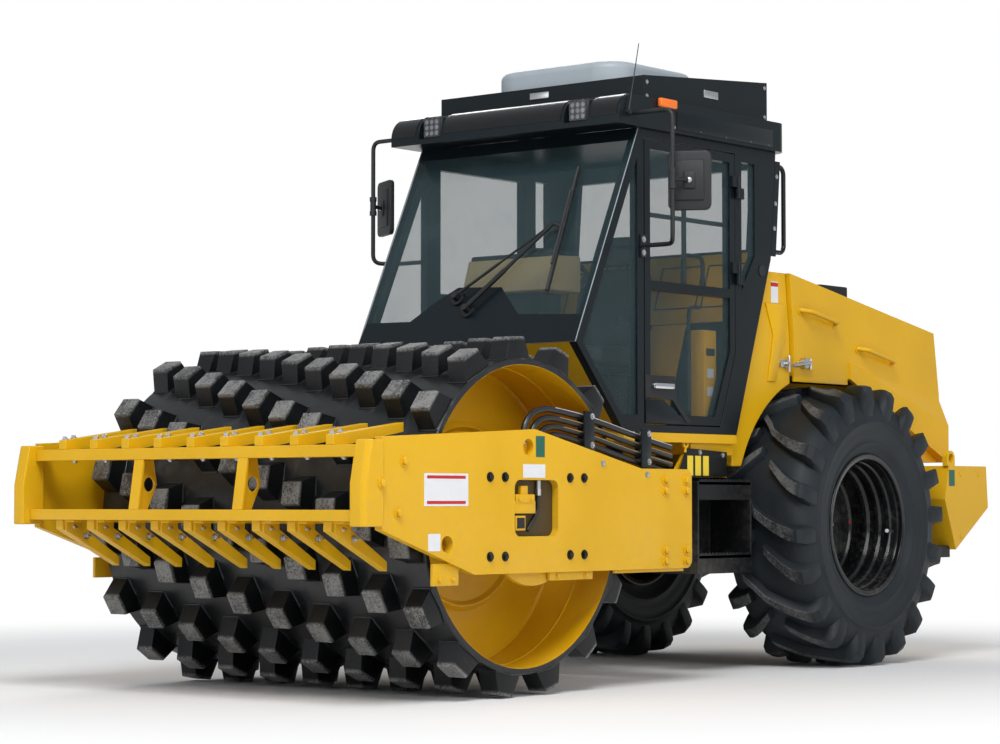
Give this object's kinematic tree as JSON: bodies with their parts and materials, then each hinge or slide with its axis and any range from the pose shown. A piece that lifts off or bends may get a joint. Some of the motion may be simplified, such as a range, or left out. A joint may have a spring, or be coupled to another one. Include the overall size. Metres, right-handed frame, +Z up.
{
  "type": "single drum soil compactor",
  "caption": "Articulated soil compactor with a padfoot drum in a front frame, an enclosed cab, a lifting hood and two lugged rear tyres.",
  "frame": {"origin": "on the floor, at the middle of the overall length and width", "axes": "+X forwards along the machine, +Y to its left, +Z up"},
  "size_m": [5.838, 2.33, 3.3215],
  "materials": {
    "yellow_paint": "gloss machine yellow paint",
    "black_paint": "satin black paint",
    "cab_paint": "satin dark slate paint",
    "drum_steel": "black paint, worn on the pads",
    "rim_paint": "gloss black paint",
    "tyre": "dark grey rubber",
    "rubber_hose": "black rubber",
    "chrome_rod": "bright plated rod",
    "glass": "pale tinted glass",
    "lamp_glass": "clear lamp",
    "pale_plastic": "pale grey moulding",
    "black_plastic": "matt black plastic",
    "seat_vinyl": "black seat cover",
    "cast_block": "plain block"
  },
  "bodies": {
    "front_frame": {"side_plate_left": "yellow_paint", "side_plate_right": "yellow_paint", "front_noses": "yellow_paint", "front_beam_top": "yellow_paint", "front_beam_bottom": "yellow_paint", "front_posts": "yellow_paint", "scrapers_top": "yellow_paint", "scrapers_bottom": "yellow_paint", "cross_member": "yellow_paint", "steering_tongue": "black_paint", "drum_carriers": "yellow_paint", "drive_hoses": "rubber_hose"},
    "drum_body": {"drum": "drum_steel"},
    "barrel_left": {"steer_barrel_left": "black_paint"},
    "barrel_right": {"steer_barrel_right": "black_paint"},
    "rod_left": {"steer_rod_left": "chrome_rod"},
    "rod_right": {"steer_rod_right": "chrome_rod"},
    "wheel_left": {"tyre_left": "tyre", "rim_left": "rim_paint"},
    "wheel_right": {"tyre_right": "tyre", "rim_right": "rim_paint"},
    "rear_frame": {"hitch_block": "black_paint", "frame_rails": "black_paint", "cross_plates": "black_paint", "rear_axle": "black_paint", "counterweight": "yellow_paint", "tail_blocks": "black_plastic", "cab_mounts": "yellow_paint", "access_steps": "black_paint", "cab_floor": "yellow_paint", "cab_front_panel": "yellow_paint", "cab_side_left": "cab_paint", "cab_side_right": "cab_paint", "cab_back": "cab_paint", "windscreen": "glass", "cab_glass": "glass", "roof": "cab_paint", "roof_cooler": "pale_plastic", "roof_lamps": "lamp_glass", "antenna": "black_plastic", "mirrors": "black_plastic", "grab_rails": "cab_paint", "door_hinges": "cab_paint", "operator_seat": "seat_vinyl", "steering_stand": "black_plastic", "tank": "yellow_paint", "engine_block": "cast_block", "bay_walls": "yellow_paint"},
    "hood_body": {"hood": "yellow_paint", "exhaust_outlet": "black_paint", "rear_grille": "black_paint"},
    "door_body": {"cab_door": "cab_paint", "door_glass": "glass"}
  },
  "joints": [
    {"name": "steer", "type": "hinge", "parent": "rear_frame", "child": "front_frame", "pos_m": [0.115, 0, 0.81], "axis": [0, 0, 1], "range_deg": [-37, 37]},
    {"name": "drum_spin", "type": "hinge", "parent": "front_frame", "child": "drum_body", "pos_m": [1.665, 0, 0.857], "axis": [0, 1, 0], "continuous": true},
    {"name": "wheel_left_spin", "type": "hinge", "parent": "rear_frame", "child": "wheel_left", "pos_m": [-1.485, 0.79, 0.795], "axis": [0, 1, 0], "continuous": true},
    {"name": "wheel_right_spin", "type": "hinge", "parent": "rear_frame", "child": "wheel_right", "pos_m": [-1.485, -0.79, 0.795], "axis": [0, 1, 0], "continuous": true},
    {"name": "door_swing", "type": "hinge", "parent": "rear_frame", "child": "door_body", "pos_m": [-0.575, 0.77, 2.1], "axis": [0, 0, 1], "range_deg": [0, 85]},
    {"name": "hood_lift", "type": "hinge", "parent": "rear_frame", "child": "hood_body", "pos_m": [-2.813, 0, 1.185], "axis": [0, -1, 0], "range_deg": [0, 50]},
    {"name": "barrel_left_swing", "type": "hinge", "parent": "rear_frame", "child": "barrel_left", "pos_m": [-0.485, 0.24, 0.79], "axis": [0, 0, 1], "range_deg": [-9.5, 9.5]},
    {"name": "rod_left_slide", "type": "slide", "parent": "barrel_left", "child": "rod_left", "axis": [0.9934, 0.1146, 0], "range_m": [-0.192, 0.192]},
    {"name": "barrel_right_swing", "type": "hinge", "parent": "rear_frame", "child": "barrel_right", "pos_m": [-0.485, -0.24, 0.79], "axis": [0, 0, 1], "range_deg": [-9.5, 9.5]},
    {"name": "rod_right_slide", "type": "slide", "parent": "barrel_right", "child": "rod_right", "axis": [0.9934, -0.1146, 0], "range_m": [-0.192, 0.192]}
  ],
  "couplings": [
    {"joint": "barrel_left_swing", "follows": "steer", "ratio": 0.253},
    {"joint": "rod_left_slide", "follows": "steer", "m_per_rad": -0.29422},
    {"joint": "barrel_right_swing", "follows": "steer", "ratio": 0.253},
    {"joint": "rod_right_slide", "follows": "steer", "m_per_rad": 0.29422}
  ]
}
